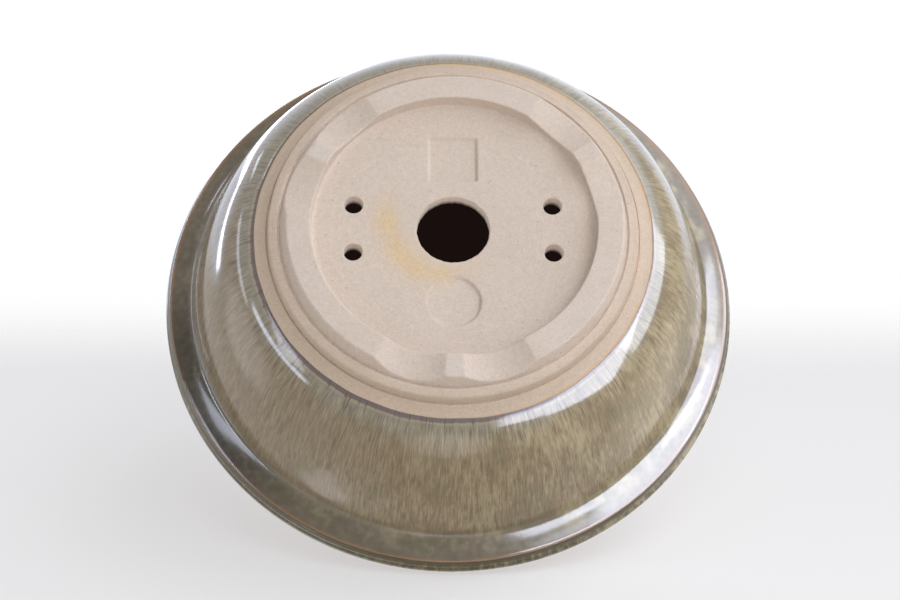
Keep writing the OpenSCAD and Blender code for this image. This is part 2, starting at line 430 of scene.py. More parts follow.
def make_piece(name, points, quads, marks, material):
    """Puts whole arrays into a mesh, and sets the piece in the place of its solid."""
    points = np.ascontiguousarray(points.reshape(-1, 3), np.float32)
    quads = np.ascontiguousarray(quads.reshape(-1, 4), np.int32)
    mesh = bpy.data.meshes.new(name)
    mesh.vertices.add(len(points))
    mesh.vertices.foreach_set("co", points.ravel())
    mesh.loops.add(quads.size)
    mesh.loops.foreach_set("vertex_index", quads.ravel())
    mesh.polygons.add(len(quads))
    mesh.polygons.foreach_set("loop_start", np.arange(0, quads.size, 4, dtype=np.int32))
    mesh.update(calc_edges=True)
    for mark, values in marks.items():
        layer = mesh.attributes.new(mark, "FLOAT", "POINT")
        layer.data.foreach_set("value", np.ascontiguousarray(values.ravel(), np.float32))
    if mesh.validate():
        raise RuntimeError(f"the mesh of {name} has faults")
    mesh.shade_smooth()
    mesh.materials.append(material)
    piece = bpy.data.objects.new(name + "_finish", mesh)
    bpy.context.scene.collection.objects.link(piece)
    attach(piece, "root")
    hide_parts(name)


# Clay bowl

def lip_of(distance, rounding):
    """Rise of a surface over a rounded edge: a quarter circle from the edge, where distance is 0."""
    inner = np.clip(rounding - distance, 0.0, rounding)
    return rounding - np.sqrt(rounding**2 - inner**2)


def wire_places(shape):
    """Middles of the four wire holes."""
    x, y = np.meshgrid([-0.5 * shape.wire_span_x, 0.5 * shape.wire_span_x],
                       [-0.5 * shape.wire_span_y, 0.5 * shape.wire_span_y])
    return np.stack([x.ravel(), y.ravel()], axis=1)


def seat_inner(shape):
    """Inner radius of the seat, where the lute fillet of the foot ring runs out."""
    return shape.foot_inner - shape.foot_lean - shape.foot_fillet


def floor_top(shape):
    """Height of the inside floor."""
    return shape.recess_height + shape.floor_thickness


def hole_lips(x, y, shape, rounding):
    """Rounded edges of the drain hole and the wire holes, which add up because they lie apart."""
    away = [np.hypot(x, y) - shape.drain_radius]
    away += [np.hypot(x - place[0], y - place[1]) - shape.wire_radius for place in wire_places(shape)]
    return sum(lip_of(distance, rounding) for distance in away)


def press_marks(x, y, shape):
    """Depth of the two blank press marks: a square one towards +Y and a round one towards -Y, each with a
    soft edge, and the round one pressed deeper on one side."""
    half = 0.5 * shape.press_size
    disc_radius = 1.1 * half
    soft = 0.35 * MM
    square = np.maximum(np.abs(x), np.abs(y - shape.press_place)) - half
    disc = np.hypot(x, y + shape.press_place) - disc_radius
    tilt = 0.62 - 0.38 * x / half
    return shape.press_depth * ((1.0 - rise(square, -soft, soft)) + tilt * (1.0 - rise(disc, -soft, soft)))


def base_height(x, y, shape):
    """Underside of the floor: a shallow cone from the middle to the seat, with fine turned rings whose depth
    comes and goes along the radius, press marks and rounded hole edges."""
    radius = np.hypot(x, y)
    edge_round = 0.4 * MM
    ring_depth = 0.012 * MM
    ring_gap = 1.9 * MM
    depth_turns = 310.0
    cone = shape.recess_height + (shape.seat_height - shape.recess_height) * radius / seat_inner(shape)
    rings = ring_depth * np.sin(radius * TURN / ring_gap) * np.sin(radius * depth_turns)
    return cone + rings + press_marks(x, y, shape) + hole_lips(x, y, shape, edge_round)


def floor_height(x, y, shape):
    """Inside floor: flat, with rounded hole edges."""
    edge_round = 0.5 * MM
    return floor_top(shape) - hole_lips(x, y, shape, edge_round)


def base_line(shape):
    """Turned base outside the recess: seat, bead, groove and clay band, with eased corners. The band comes
    up to just below the face of the coat, which lies on it, and then sinks under the coat."""
    seat = np.array([[seat_inner(shape), shape.seat_height], [shape.foot_groove_radius, shape.seat_height]])
    groove = np.array([shape.band_groove_radius, shape.band_groove_height + shape.groove_cut])
    inner = np.array([shape.foot_groove_radius, shape.bead_height])
    outer = np.array([shape.band_groove_radius - shape.bead_lean, shape.bead_height + shape.bead_fall])
    shoulder_end = outer + shape.bead_shoulder * heading(outer, groove)
    bead = joined(
        np.array([inner + [0.0, shape.bead_dip], inner + [shape.bead_slope, 0.0]]),
        corner(outer - [shape.bead_shoulder, 0.0], outer, shoulder_end),
    )
    groove_flank = 0.2 * MM
    band_start = groove + [shape.band_groove_width + groove_flank, -shape.groove_cut]
    groove_floor = np.array([groove, groove + [0.5 * shape.band_groove_width, 0.0], band_start])
    # The band's points lie up the coat's slope from the glaze line, and into the clay from the coat's face
    coat, _ = glaze_lines(shape)
    up = way(shape.heel_slope)
    into = np.array([-up[1], up[0]])
    bare_end = 0.4 * MM
    sink_start = 1.2 * MM
    sink_end = 1.7 * MM
    ahead = np.array([-shape.glaze_reach - bare_end, sink_start, sink_end])
    depth = np.array([shape.coat_lift, shape.coat_lift, shape.glaze_thickness])
    band = coat[0] + ahead[:, None] * up + depth[:, None] * into
    turned_part = softened(spaced(joined(bead, groove_floor, band), gap=0.14 * MM), passes=2)
    return joined(seat, spaced_for_bends(turned_part, gap=0.9 * MM, bend=math.radians(13)))


def bare_inside(shape):
    """Bare wall inside, from the inner glaze line down through the cove to the edge of the floor."""
    wall, _, _, _ = wall_line(shape)
    floor = floor_top(shape)
    line = inset(wall, shape.wall_thickness - shape.glaze_thickness)[::-1]
    low = floor + shape.cove_height
    high = shape.inner_glaze_height - shape.glaze_thickness
    line = line[(line[:, 1] < high) & (line[:, 1] > low)]
    top = line[-1]
    back = line[-2] - top
    knee = top - back * ((top[1] - floor) / back[1])
    cove_end = knee - [shape.cove_run, 0.0]
    return joined(spaced(line, gap=INSIDE_GAP), corner(top, knee, cove_end, count=8))


def spaced_between(start, end, gap):
    """Even values from start up to, and without, end."""
    count = max(1, int(round(abs(end - start) / gap)))
    return np.linspace(start, end, count, endpoint=False)


def block_columns(place):
    """Columns of the grid in the block round a wire hole."""
    middle = int(round(math.atan2(place[1], place[0]) / (TURN / GRID)))
    return np.arange(middle - BLOCK, middle + BLOCK + 1) % GRID


def hole_tube(place, blocks, points, start, shape):
    """Wall of a wire hole with the two patches that join it to the grids of the base and of the floor.

    Each patch runs from the outline of a block of the grid to the hole's edge, by rings round the hole. The
    wall between the patches is straight. blocks holds each block's vertex numbers and its height function,
    and start is the first free number. Gives the new points and the quads."""
    outlines = [np.concatenate([block[0, :-1], block[:-1, -1], block[-1, :0:-1], block[:0:-1, 0]])
                for block, _ in blocks]
    spread = points[outlines[0], :2] - place
    ways = spread / np.hypot(spread[:, 0], spread[:, 1])[:, None]
    from_edge = np.array([1.2, 0.7, 0.34, 0.2, 0.1, 0.0]) * MM
    rings = place + ways * (shape.wire_radius + from_edge[:, None, None])
    first = 0.5 * (points[outlines[0], :2] + rings[0])
    flat = np.concatenate([first[None], rings])
    lower, upper = [np.dstack([flat, height(flat[..., 0], flat[..., 1], shape)]) for _, height in blocks]
    steps = np.linspace(0.0, 1.0, BORE_ROWS)[1:-1, None, None]
    wall = lower[-1] * (1.0 - steps) + upper[-1] * steps
    fresh = np.concatenate([lower, wall, upper[::-1]])
    numbers = start + np.arange(fresh.shape[0] * fresh.shape[1]).reshape(fresh.shape[:2])
    return fresh.reshape(-1, 3), tube_quads(np.concatenate([outlines[0][None], numbers, outlines[1][None]]))


def bowl_surface(shape):
    """Closed skin of the clay bowl: rows of [radius, height] taken round the pot, from the drain's lower edge
    along the base, up under the glaze, down inside and back through the drain, with the wire holes let in."""
    angles = round_angles(GRID)
    places = wire_places(shape)
    # Rows lie close together on the drain's rounded edges, at these distances from the hole
    lips = np.array([0.0, 0.05, 0.12, 0.22, 0.34, 0.5, 0.8]) * MM
    lip_end = shape.drain_radius + lips[-1]
    line = base_line(shape)
    coats = spaced_for_bends(joined(*glaze_lines(shape)), gap=8.0 * MM, bend=math.radians(22))
    inside = bare_inside(shape)
    profile = np.vstack([line, inset(coats, shape.glaze_thickness)[1:], inside])

    # Rows of the base: wide apart up to the press marks, close over them and round the wire holes
    block_rows = np.arange(2 * BLOCK + 1)
    block_gap = 0.45 * MM
    block_radii = np.hypot(*places[0]) + block_gap * (block_rows - BLOCK)
    marks_start = shape.press_place - 0.55 * shape.press_size
    near = np.concatenate([spaced_between(lip_end, marks_start, gap=1.2 * MM),
                           spaced_between(marks_start, block_radii[0], gap=0.5 * MM)])
    far = spaced_between(block_radii[-1], line[0, 0], gap=0.9 * MM)[1:]
    base_radii = np.concatenate([shape.drain_radius + lips[:-1], near, block_radii, far])
    base_rows = len(lips) - 1 + len(near) + block_rows

    # Rows of the inside floor, from the cove back to the drain
    far = spaced_between(inside[-1, 0], block_radii[-1], INSIDE_GAP)[1:]
    near = spaced_between(block_radii[0], lip_end, INSIDE_GAP)[1:]
    floor_radii = np.concatenate([far, block_radii[::-1], near, shape.drain_radius + lips[::-2]])
    floor_rows = len(base_radii) + len(profile) + len(far) + block_rows[::-1]

    chip_depth = 0.09 * MM
    chips = chip_depth * np.sin(9 * angles) * np.sin(23 * angles + 1.0)

    def chipped(radii):
        """Radii round the pot, with the drain's edge left a little uneven."""
        return radii[:, None] + chips * np.exp(-((radii - shape.drain_radius) / MM) ** 2)[:, None]

    def heights_at(radii, height):
        """Heights round the pot, by a function of x and y."""
        return height(radii[:, None] * np.cos(angles), radii[:, None] * np.sin(angles), shape)

    base_z = heights_at(base_radii, base_height)
    floor_z = heights_at(floor_radii, floor_height)
    steps = np.linspace(1.0, 0.0, BORE_ROWS)[1:-1, None]
    bore_z = base_z[0] * (1.0 - steps) + floor_z[-1] * steps
    bore_radii = np.full(len(steps), shape.drain_radius)
    turned = np.repeat(profile[..., None], GRID, axis=-1)
    radii = np.concatenate([chipped(base_radii), turned[:, 0], chipped(floor_radii), chipped(bore_radii)])
    heights = np.concatenate([base_z, turned[:, 1], floor_z, bore_z])
    points = turned_to(radii, heights, angles).reshape(-1, 3)

    index = np.arange(len(points)).reshape(-1, GRID)
    keep = np.ones(index.shape, bool)
    made_points = [points]
    made_quads = []
    for place in places:
        columns = block_columns(place)
        blocks = []
        for rows, height in ((base_rows, base_height), (floor_rows, floor_height)):
            keep[np.ix_(np.sort(rows)[:-1], columns[:-1])] = False
            blocks.append((index[np.ix_(rows, columns)], height))
        tube, quads = hole_tube(place, blocks, points, sum(map(len, made_points)), shape)
        made_points.append(tube)
        made_quads.append(quads.reshape(-1, 4))
    return np.concatenate(made_points), np.concatenate([ring_quads(index)[keep], *made_quads])


def stain_mark(points):
    """Rust stain round one side of the drain: a band whose radius grows from 17 mm to 26 mm over a third of a
    turn, widest in the middle and faded at both ends."""
    x, y, z = points.T
    turn = np.degrees(np.arctan2(y, x))
    radius = np.hypot(x, y)
    middle = np.interp(turn, [-97.0, -56.0, -5.0, 32.0], np.array([17.0, 19.8, 22.0, 26.0]) * MM)
    width = np.interp(turn, [-97.0, -50.0, 0.0, 32.0], np.array([3.2, 5.5, 5.0, 3.2]) * MM)
    band = np.exp(-(((radius - middle) / width) ** 2))
    faded_ends = rise(turn, -138.0, -95.0) * (1.0 - rise(turn, 10.0, 46.0))
    under_floor = z < 10 * MM
    return band * faded_ends * under_floor


def flash_mark(points, shape):
    """Orange line that the kiln left on the clay beside the coat's edge, strongest on the side where the coat
    ran least."""
    x, y, z = points.T
    angles = np.arctan2(y, x)
    reached = shape.glaze_reach - run_down(shape, angles)
    edge = shape.glaze_line_radius - reached * math.cos(shape.heel_slope)
    beside = rise(np.hypot(x, y) - edge, -0.4 * MM, 0.1 * MM)
    strength = 0.55 - 0.45 * np.cos(angles + math.radians(30))
    return beside * strength * (z < shape.glaze_line_height + 2 * MM)


# Foot ring

def scoop_rise(angles, shape):
    """Height of the scoops over the resting plane for each unit of radius, below 0 on the feet.

    A scoop is a cone with its tip in the origin. With the scoop's axis dipped below the plane, the height t
    per unit of radius at an angle a from its middle solves
    cos a cos dip - t sin dip = cos cone sqrt(1 + t^2)."""
    middle = 0.5 * (shape.foot_inner + shape.foot_outer)
    top = math.atan(shape.scoop_depth / middle)
    dip = math.atan((math.cos(top) - math.cos(0.5 * shape.scoop_width)) / math.sin(top))
    cone = dip + top
    pairs = math.radians(-90) + np.arange(shape.foot_count) * TURN / shape.foot_count
    offset = 0.5 * (shape.scoop_width + shape.ridge_width)
    centres = np.concatenate([pairs - offset, pairs + offset])
    apart = np.abs((angles[:, None] - centres + math.pi) % TURN - math.pi).min(axis=1)
    a = np.cos(apart) * math.cos(dip)
    b = math.sin(dip)
    c = math.cos(cone)
    root = np.sqrt(np.maximum(a * a * b * b - (b * b - c * c) * (a * a - c * c), 0.0))
    return (a * a - c * c) / (a * b + root)


def ring_surface(shape):
    """Closed skin of the foot ring: at each angle the resting face is lifted to the scoop, and both walls
    start from its edges. The face lies off centre, so the outer wall slopes more on one side; at its end a
    thin lip is smeared onto the bead. The scoops' edges are eased by replacing t with
    (t + sqrt(t^2 + e^2)) / 2. Gives the points, the quads and how much each point is worn smooth and given a
    painted sheen."""
    angles = round_angles(RING_GRID)
    raw = scoop_rise(angles, shape)
    ease = 0.004
    lift = 0.5 * (raw + np.sqrt(raw**2 + ease**2))
    drift = shape.foot_drift * np.cos(angles)
    foot_outer = shape.foot_outer - drift
    foot_inner = shape.foot_inner - 0.4 * drift
    lip_bend = 0.15 * MM
    bead_top = shape.bead_height + shape.bead_dip
    wall_end = shape.ring_radius + lip_bend
    wall_low = bead_top - lip_bend
    lean_out = (wall_end - foot_outer) / wall_low
    lean_in = shape.foot_lean / shape.seat_height
    edge_out = foot_outer / (1.0 - lean_out * lift)
    edge_in = foot_inner / (1.0 + lean_in * lift)

    def at(radius, height):
        """A row of points round the ring."""
        return np.stack(np.broadcast_arrays(radius, height, angles)[:2], axis=-1)

    def between(start, end, count):
        """Rows on the way from one row to another, without the first."""
        part = np.linspace(0.0, 1.0, count)[1:, None, None]
        return start * (1.0 - part) + end * part

    rounding = shape.foot_round
    face_in = edge_in + rounding
    face_out = edge_out - 1.3 * rounding
    face = between(at(face_in, face_in * lift), at(face_out, face_out * lift), count=28)
    room_out = np.minimum(1.6 * rounding, 0.6 * (wall_low - edge_out * lift))
    out_up = at(edge_out + lean_out * room_out, edge_out * lift + room_out)
    outer_round = corner(face[-1], at(edge_out, edge_out * lift), out_up, count=7)[1:]
    lip_start = at(wall_end, wall_low)
    outer_wall = between(out_up, lip_start, count=9)

    # The end of the lip and the thin edge of the fillet lie just inside the clay beside them
    sunk = 0.02 * MM
    lip_fall = shape.bead_dip * (1.0 - shape.foot_lip / shape.bead_slope)
    lip_end = at(shape.foot_groove_radius + shape.foot_lip, shape.bead_height + lip_fall + sunk)
    lip_knee = at(wall_end + 0.1 * MM, bead_top)
    lip = corner(lip_start, lip_knee, lip_end, count=6)[1:]
    seat = shape.seat_height
    inner_top = foot_inner - shape.foot_lean
    fillet_end = inner_top - shape.foot_fillet
    fillet_rise = 0.4 * shape.foot_fillet
    buried = 0.3 * MM
    top = np.stack([at(shape.ring_radius, seat), at(fillet_end, seat + buried)])
    fillet_low = at(inner_top + lean_in * fillet_rise, seat - fillet_rise)
    inner_fillet = corner(at(fillet_end, seat + sunk), at(inner_top, seat), fillet_low, count=16)

    room_in = np.minimum(rounding, 0.5 * (fillet_low[:, 1] - edge_in * lift))
    in_up = at(edge_in - lean_in * room_in, edge_in * lift + room_in)
    inner_wall = between(fillet_low, in_up, count=7)
    inner_round = corner(in_up, at(edge_in, edge_in * lift), face[0], count=6)[1:-1]
    rows = np.concatenate([face, outer_round, outer_wall, lip, top, inner_fillet, inner_wall, inner_round])
    points, quads = closed_surface(rows, angles)

    # The ridges are worn smooth and get the painted sheen most, and the feet a little
    pair = TURN / shape.foot_count
    from_ridge = np.abs((angles + 0.5 * math.pi + 0.5 * pair) % pair - 0.5 * pair)
    ridge = 1.0 - rise(from_ridge, math.radians(3), math.radians(7))
    resting = rise(-raw, -0.002, 0.012) * (rows[..., 1] < 0.25 * MM)
    return points, quads, resting * (0.25 + 0.75 * ridge)


# Glaze coats

def coat_surface(face, shape, start_swell, end_swell, relief):
    """Closed glaze coat: rows along its face, a rolled edge, rows along its back, and the other rolled edge.

    A row at a length s along the face starts later or earlier round the pot by the swells, which fade along
    the face. The relief raises the face by a function of the length from the coat's own edge and of the
    angle. A rolled edge is half a circle across the coat. Gives the points, the quads and each point's share
    of the way along."""
    angles = round_angles(GRID)
    run = run_of(face)
    normal = outward(face)
    total = run[-1]
    fade = 5.0 * MM
    face_gap = 0.5 * MM
    face_rows = int(total / face_gap)
    back_rows = face_rows // 6

    def walked(places):
        """Lengths along the face, moved by the swells, round the pot."""
        s = places[:, None] + np.zeros(GRID)
        start = start_swell * np.clip(1.0 - s / fade, 0.0, 1.0) ** 2
        end = end_swell * np.clip(1.0 - (total - s) / fade, 0.0, 1.0) ** 2
        return np.clip(s + start - end, 0.0, total)

    def rolled(first, final, out):
        """Rows over an edge of the coat, from a row on one side to a row on the other."""
        middle = 0.5 * (first + final)
        radius = 0.5 * np.hypot(*(final - first).T)[:, None]
        ahead = np.stack([-out[:, 1], out[:, 0]], axis=-1)
        swing = np.linspace(0.0, math.pi, 10)[1:-1, None, None]
        return middle + radius * (np.cos(swing) * (first - middle) / radius + np.sin(swing) * ahead)

    # The rows of the coat's first stretch lie closer together
    first_stretch = 2.0
    close_rows = np.arange(0.0, first_stretch, 0.1) * MM
    front_s = walked(np.concatenate([close_rows, np.linspace(first_stretch * MM, total, face_rows)]))
    back_s = walked(np.linspace(total, 0.0, back_rows))
    front_out = points_along(normal, run, front_s)
    front = points_along(face, run, front_s) + front_out * relief(front_s - start_swell, angles)[..., None]
    back = points_along(face, run, back_s) - points_along(normal, run, back_s) * shape.glaze_thickness
    end_roll = rolled(front[-1], back[0], front_out[-1])
    start_roll = rolled(back[-1], front[0], -front_out[0])
    points, quads = closed_surface(np.concatenate([front, end_roll, back, start_roll]), angles)
    runs = np.concatenate([front_s, np.full(end_roll.shape[:2], total), back_s,
                           np.zeros(start_roll.shape[:2]) + start_swell])
    return points, quads, (runs - start_swell) / (total - start_swell)


def run_down(shape, angles):
    """How far the outer coat's edge stays back from its lowest reach: it ran down most towards one side of
    the kiln, and wavers in small waves."""
    tilt = 0.6 * MM * np.cos(angles + math.radians(60))
    waves = swells(angles, 0.22 * MM, (5, 9, 16, 29))
    return shape.glaze_reach - 0.1 * MM - tilt + waves


def wall_relief(shape):
    """Relief of the outer coat: a rounded edge, throwing rings and slow unevenness. The edge rises from the
    clay by a quarter of an ellipse. The relief only sinks the face, so that the pot keeps its size."""
    edge_depth = shape.glaze_thickness - 0.06 * MM
    ring_gap = 9.0 * MM
    ring_depth = 0.02 * MM
    slow_depth = 0.06 * MM

    def relief(s, angles):
        before = np.clip(1.0 - s / shape.glaze_roll, 0.0, 1.0)
        edge = edge_depth * (1.0 - np.sqrt(1.0 - before**2))
        rings = 0.5 + 0.5 * np.sin(s * TURN / ring_gap + 0.5 * np.sin(2 * angles))
        slow = 0.5 + 0.5 * np.sin(3 * angles + 40.0 * s) * np.sin(2 * angles + 1.0)
        return -edge - ring_depth * rings - slow_depth * slow

    return relief


def turned_groove(shape):
    """Relief of the rim's coat: a fine line turned into the edge face, the same all round."""
    middle = 3.4 * MM
    width = 0.35 * MM

    def relief(s, _):
        return -shape.rim_groove * np.exp(-(((s - middle) / width) ** 2))

    return relief


# Materials

class Layout:
    """Adds nodes to a tree, each with its values and links in one call."""

    def __init__(self, tree):
        self.tree = tree

    def node(self, kind, inputs=None, **settings):
        made = self.tree.nodes.new(kind)
        for name, value in settings.items():
            setattr(made, name, value)
        self.fill(made, inputs or {})
        return made

    def fill(self, node, inputs):
        for socket, value in inputs.items():
            self.feed(node.inputs[socket], value)

    def feed(self, socket, value):
        if isinstance(value, bpy.types.NodeSocket):
            self.tree.links.new(value, socket)
        elif socket.type == "RGBA" and len(value) == 3:
            socket.default_value = (*value, 1.0)
        else:
            socket.default_value = value

    def math(self, operation, *values):
        return self.node("ShaderNodeMath", dict(enumerate(values)), operation=operation).outputs[0]

    def times(self, first, second):
        return self.math("MULTIPLY", first, second)

    def add_part(self, base, value, factor):
        """base + value * factor"""
        return self.math("MULTIPLY_ADD", value, factor, base)

    def centred(self, noise):
        """Noise about 0 on average."""
        return self.math("SUBTRACT", noise, 0.5)

    def blend(self, factor, first, second):
        """The first value where the factor is 0, and the second where it is 1."""
        return self.add_part(first, factor, self.math("SUBTRACT", second, first))

    def step(self, value, low, high, start=0.0, end=1.0):
        inputs = {"Value": value, "From Min": low, "From Max": high, "To Min": start, "To Max": end}
        return self.node("ShaderNodeMapRange", inputs, interpolation_type="SMOOTHSTEP").outputs["Result"]

    def vector(self, operation, first, second=(0.0, 0.0, 0.0)):
        made = self.node("ShaderNodeVectorMath", {0: first, 1: second}, operation=operation)
        return made.outputs["Value" if operation in ("DOT_PRODUCT", "LENGTH", "DISTANCE") else "Vector"]

    def scaled(self, vector, factor):
        made = self.node("ShaderNodeVectorMath", {0: vector, "Scale": factor}, operation="SCALE")
        return made.outputs["Vector"]

    def combined(self, x=0.0, y=0.0, z=0.0):
        return self.node("ShaderNodeCombineXYZ", {0: x, 1: y, 2: z}).outputs[0]

    def place(self):
        return self.node("ShaderNodeTexCoord").outputs["Object"]

    def from_axis(self):
        """Level way from the pot's axis to the point."""
        return self.vector("MULTIPLY", self.place(), (1.0, 1.0, 0.0))

    def mark(self, name):
        return self.node("ShaderNodeAttribute", attribute_name=name).outputs["Fac"]

    def noise(self, vector, scale, detail=2.0, roughness=0.5):
        inputs = {"Vector": vector, "Scale": scale, "Detail": detail, "Roughness": roughness}
        return self.node("ShaderNodeTexNoise", inputs).outputs[0]

    def mix(self, factor, first, second, blend="MIX"):
        inputs = {0: factor, MIX_FIRST: first, MIX_SECOND: second}
        made = self.node("ShaderNodeMix", inputs, data_type="RGBA", blend_type=blend)
        return made.outputs[MIX_RESULT]

    def shaded(self, tone, light):
        """The colour times a plain value."""
        grey = self.node("ShaderNodeCombineColor", {0: light, 1: light, 2: light}).outputs[0]
        return self.mix(1.0, tone, grey, "MULTIPLY")

    def ramp(self, factor, stops):
        made = self.node("ShaderNodeValToRGB", {0: factor})
        elements = made.color_ramp.elements
        while len(elements) < len(stops):
            elements.new(0.5)
        for element, (place, tone) in zip(elements, stops):
            element.position = place
            element.color = (*tone, 1.0)
        return made.outputs["Color"]

    def bump(self, height, strength, distance):
        inputs = {"Height": height, "Strength": strength, "Distance": distance}
        return self.node("ShaderNodeBump", inputs).outputs[0]


def fresh_layout(owner):
    """Clears the nodes of a material or a world, and gives their layout."""
    owner.use_nodes = True
    owner.node_tree.nodes.clear()
    return Layout(owner.node_tree)


def new_group(name, inputs, outputs):
    """An empty shader node group with named number sockets. Gives its layout and its two end nodes."""
    tree = bpy.data.node_groups.new(name, "ShaderNodeTree")
    for socket, default in inputs.items():
        made = tree.interface.new_socket(socket, in_out="INPUT", socket_type="NodeSocketFloat")
        made.default_value = default
    for socket in outputs:
        tree.interface.new_socket(socket, in_out="OUTPUT", socket_type="NodeSocketFloat")
    layout = Layout(tree)
    return layout, layout.node("NodeGroupInput"), layout.node("NodeGroupOutput")


def clay_grain_group():
    """Stoneware grain as a tint, a grit mask and a height: soft blotches, fine and coarse sand, dark grit in
    rare cells, and turned rings, which are noise along the radius. Each has its own share of the sums."""
    group = bpy.data.node_groups.get("stoneware grain")
    if group:
        return group
    lay, given, result = new_group("stoneware grain", {"Turning": 1.0}, ("Tint", "Grit", "Height"))
    place = lay.place()
    radius = lay.vector("LENGTH", lay.from_axis())
    blotch = lay.noise(place, 38.0, detail=3.0, roughness=0.55)
    sand = lay.noise(place, 1400.0, roughness=0.6)
    coarse = lay.noise(place, 520.0, roughness=0.6)
    cells = lay.node("ShaderNodeTexVoronoi", {"Vector": place, "Scale": 640.0}, feature="F1")
    rare = lay.step(lay.noise(place, 420.0, detail=1.0), 0.62, 0.7)
    grit = lay.times(lay.step(cells.outputs["Distance"], 0.34, 0.12), rare)
    ring_place = lay.combined(radius, lay.times(blotch, 1.2 * MM))
    rings = lay.noise(ring_place, 1500.0, detail=3.0, roughness=0.65)
    turned = lay.times(lay.centred(rings), given.outputs["Turning"])
    tint = lay.times(turned, 0.12)
    for noise, factor in ((sand, 0.36), (coarse, 0.2), (blotch, 0.14)):
        tint = lay.add_part(tint, lay.centred(noise), factor)
    height = lay.times(turned, 0.9)
    for part, factor in ((sand, 0.6), (coarse, 0.5), (grit, -0.8)):
        height = lay.add_part(height, part, factor)
    lay.fill(result, {"Tint": tint, "Grit": grit, "Height": height})
    return lay.tree


def glaze_streak_group():
    """Runs in the glaze: noise on the direction round the pot, drawn out down the wall, as fine and wide
    streaks that turn to flecks on the flange, and clouds that follow no direction, with a height. The noises
    are about 0.5 on average."""
    group = bpy.data.node_groups.get("glaze runs")
    if group:
        return group
    lay, given, result = new_group("glaze runs", {"Run": 0.0}, ("Fine", "Wide", "Cloud", "Height"))
    place = lay.place()
    run = given.outputs["Run"]
    on_flange = lay.step(run, *FLANGE_SHARE)
    wander = lay.combined(lay.noise(place, 90.0))
    swung = lay.vector("ADD", lay.vector("NORMALIZE", lay.from_axis()), lay.scaled(wander, 0.012))

    def drawn(scale, pull, fleck_scale):
        """Streaks that change along the run by a small pull, and flecks on the flange."""
        streak_place = lay.vector("ADD", swung, lay.combined(z=lay.times(run, pull)))
        streaks = lay.noise(streak_place, scale, roughness=0.65)
        return lay.blend(on_flange, streaks, lay.noise(place, fleck_scale))

    fine = drawn(scale=190.0, pull=0.045, fleck_scale=420.0)
    wide = drawn(scale=58.0, pull=0.15, fleck_scale=130.0)
    cloud = lay.noise(place, 55.0, detail=3.0, roughness=0.6)
    peel = lay.noise(place, 700.0)
    height = lay.times(fine, 0.6)
    for part, factor in ((wide, 0.8), (peel, 0.25)):
        height = lay.add_part(height, part, factor)
    lay.fill(result, {"Fine": fine, "Wide": wide, "Cloud": cloud, "Height": height})
    return lay.tree


def new_material(name):
    """A fresh material with one Principled shader. Gives it, its layout and the shader."""
    material = bpy.data.materials.new(name)
    lay = fresh_layout(material)
    shader = lay.node("ShaderNodeBsdfPrincipled")
    lay.node("ShaderNodeOutputMaterial", {"Surface": shader.outputs["BSDF"]})
    return material, lay, shader


def clay_material(name, finish, shape, turning):
    """Bare stoneware with sand and grit: toasted towards the glaze line, with an orange line beside the coat,
    painted shade deep in the holes, darker inside, stained beside the drain, and worn smooth on the feet
    under a painted sheen."""
    material, lay, shader = new_material(name)
    grain = lay.node("ShaderNodeGroup", node_tree=clay_grain_group())
    lay.fill(grain, {"Turning": turning})
    place = lay.place()
    radius = lay.vector("LENGTH", lay.from_axis())
    height = lay.node("ShaderNodeSeparateXYZ", {0: place}).outputs[2]
    line = shape.glaze_line_radius
    reach = lay.add_part(radius, lay.centred(lay.noise(place, 160.0, detail=3.0)), 4.0 * MM)
    tone = lay.mix(lay.step(reach, line - 11.0 * MM, line - 4.5 * MM), finish.body, finish.toast)
    tone = lay.mix(lay.mark("flash"), tone, finish.flash)

    floor = floor_top(shape)
    # Painted shade: the hole walls deep between the base and the inside floor turn dark brown
    deep = lay.step(height, shape.recess_height + 1.8 * MM, floor - 0.4 * MM)
    in_recess = lay.step(radius, shape.foot_inner, shape.foot_inner - 2.0 * MM)
    tone = lay.mix(lay.times(deep, in_recess), tone, finish.hole_shade)
    tone = lay.mix(lay.step(height, floor - 0.3 * MM, floor), tone, finish.inside)

    broken = lay.step(lay.noise(place, 80.0, detail=3.0, roughness=0.6), 0.3, 0.66)
    stain = lay.times(lay.mark("stain"), broken)
    tone = lay.mix(lay.times(stain, 0.75), tone, finish.stain)
    # Worn smooth on the feet: less rough, and under a paler, cooler painted sheen
    wear_and_sheen_mask = lay.times(lay.mark("wear_and_sheen"), lay.step(lay.noise(place, 75.0, detail=3.0), 0.4, 0.62))
    tone = lay.mix(lay.times(wear_and_sheen_mask, 0.6), tone, finish.wear_and_sheen)
    tone = lay.shaded(tone, lay.math("ADD", grain.outputs["Tint"], 1.0))
    tone = lay.mix(lay.times(grain.outputs["Grit"], 0.3), tone, finish.speck)
    lay.fill(shader, {
        "Base Color": tone,
        "Roughness": lay.add_part(0.82, wear_and_sheen_mask, -0.3),
        "Normal": lay.bump(grain.outputs["Height"], strength=0.35, distance=0.12 * MM),
        "Specular IOR Level": 0.35,
    })
    return material


